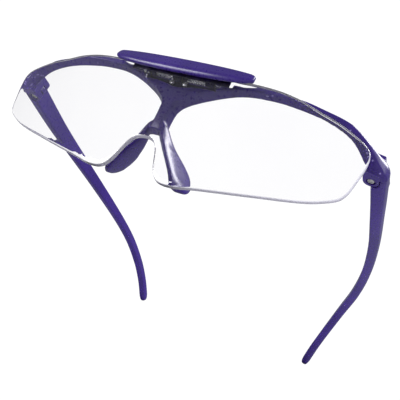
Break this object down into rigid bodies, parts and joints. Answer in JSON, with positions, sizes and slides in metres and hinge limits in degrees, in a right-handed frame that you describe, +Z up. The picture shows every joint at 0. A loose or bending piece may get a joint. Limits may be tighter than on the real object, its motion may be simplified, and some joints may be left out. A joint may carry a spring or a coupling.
{
  "type": "dental loupes",
  "caption": "Flip-up magnifying loupe spectacles: a clear one-piece magnifying shield hinged above a slim violet half-rim frame with moulded nose pads and folding temples.",
  "frame": {"origin": "centre of the footprint, on the surface the open spectacles stand on (lens foot and temple tips touch it)", "axes": "+X to the wearer's left as seen from the front (right in a front view), +Y from the front towards the temple tips, +Z up"},
  "size_m": [0.141, 0.1462, 0.0434],
  "materials": {
    "violet_plastic": "glossy injection-moulded, deep violet",
    "clear_plastic": "clear polished acrylic",
    "black_plastic": "black moulded, satin gloss",
    "steel": "bright nickel-plated steel",
    "nylon": "natural nylon"
  },
  "bodies": {
    "front": {"bracket_screw_left": "steel", "bracket_screw_right": "steel", "frame_front": "violet_plastic", "hinge_bracket": "black_plastic", "hinge_nut_left": "steel", "hinge_nut_right": "steel", "hinge_pin": "steel", "hinge_screw_left": "steel", "hinge_screw_right": "steel", "hinge_washer_left": "nylon", "hinge_washer_right": "nylon", "pin_cap_left": "steel", "pin_cap_right": "steel", "spring_left": "steel", "spring_right": "steel"},
    "lens_unit": {"lens_shield": "clear_plastic", "flip_bar": "violet_plastic", "lens_carrier": "black_plastic", "carrier_screw_left": "steel", "carrier_screw_right": "steel"},
    "temple_right": {"temple_right": "violet_plastic"},
    "temple_left": {"temple_left": "violet_plastic"}
  },
  "joints": [
    {"name": "lens_flip", "type": "hinge", "parent": "front", "child": "lens_unit", "pos_m": [0, -0.06671, 0.0391], "axis": [-1, 0, 0], "range_deg": [0, 78]},
    {"name": "temple_right_fold", "type": "hinge", "parent": "front", "child": "temple_right", "pos_m": [0.0656, -0.04989, 0.03225], "axis": [0, -0.0177, 0.9998], "range_deg": [0, 80]},
    {"name": "temple_left_fold", "type": "hinge", "parent": "front", "child": "temple_left", "pos_m": [-0.0656, -0.04989, 0.03225], "axis": [0, 0.0177, -0.9998], "range_deg": [0, 70]}
  ]
}
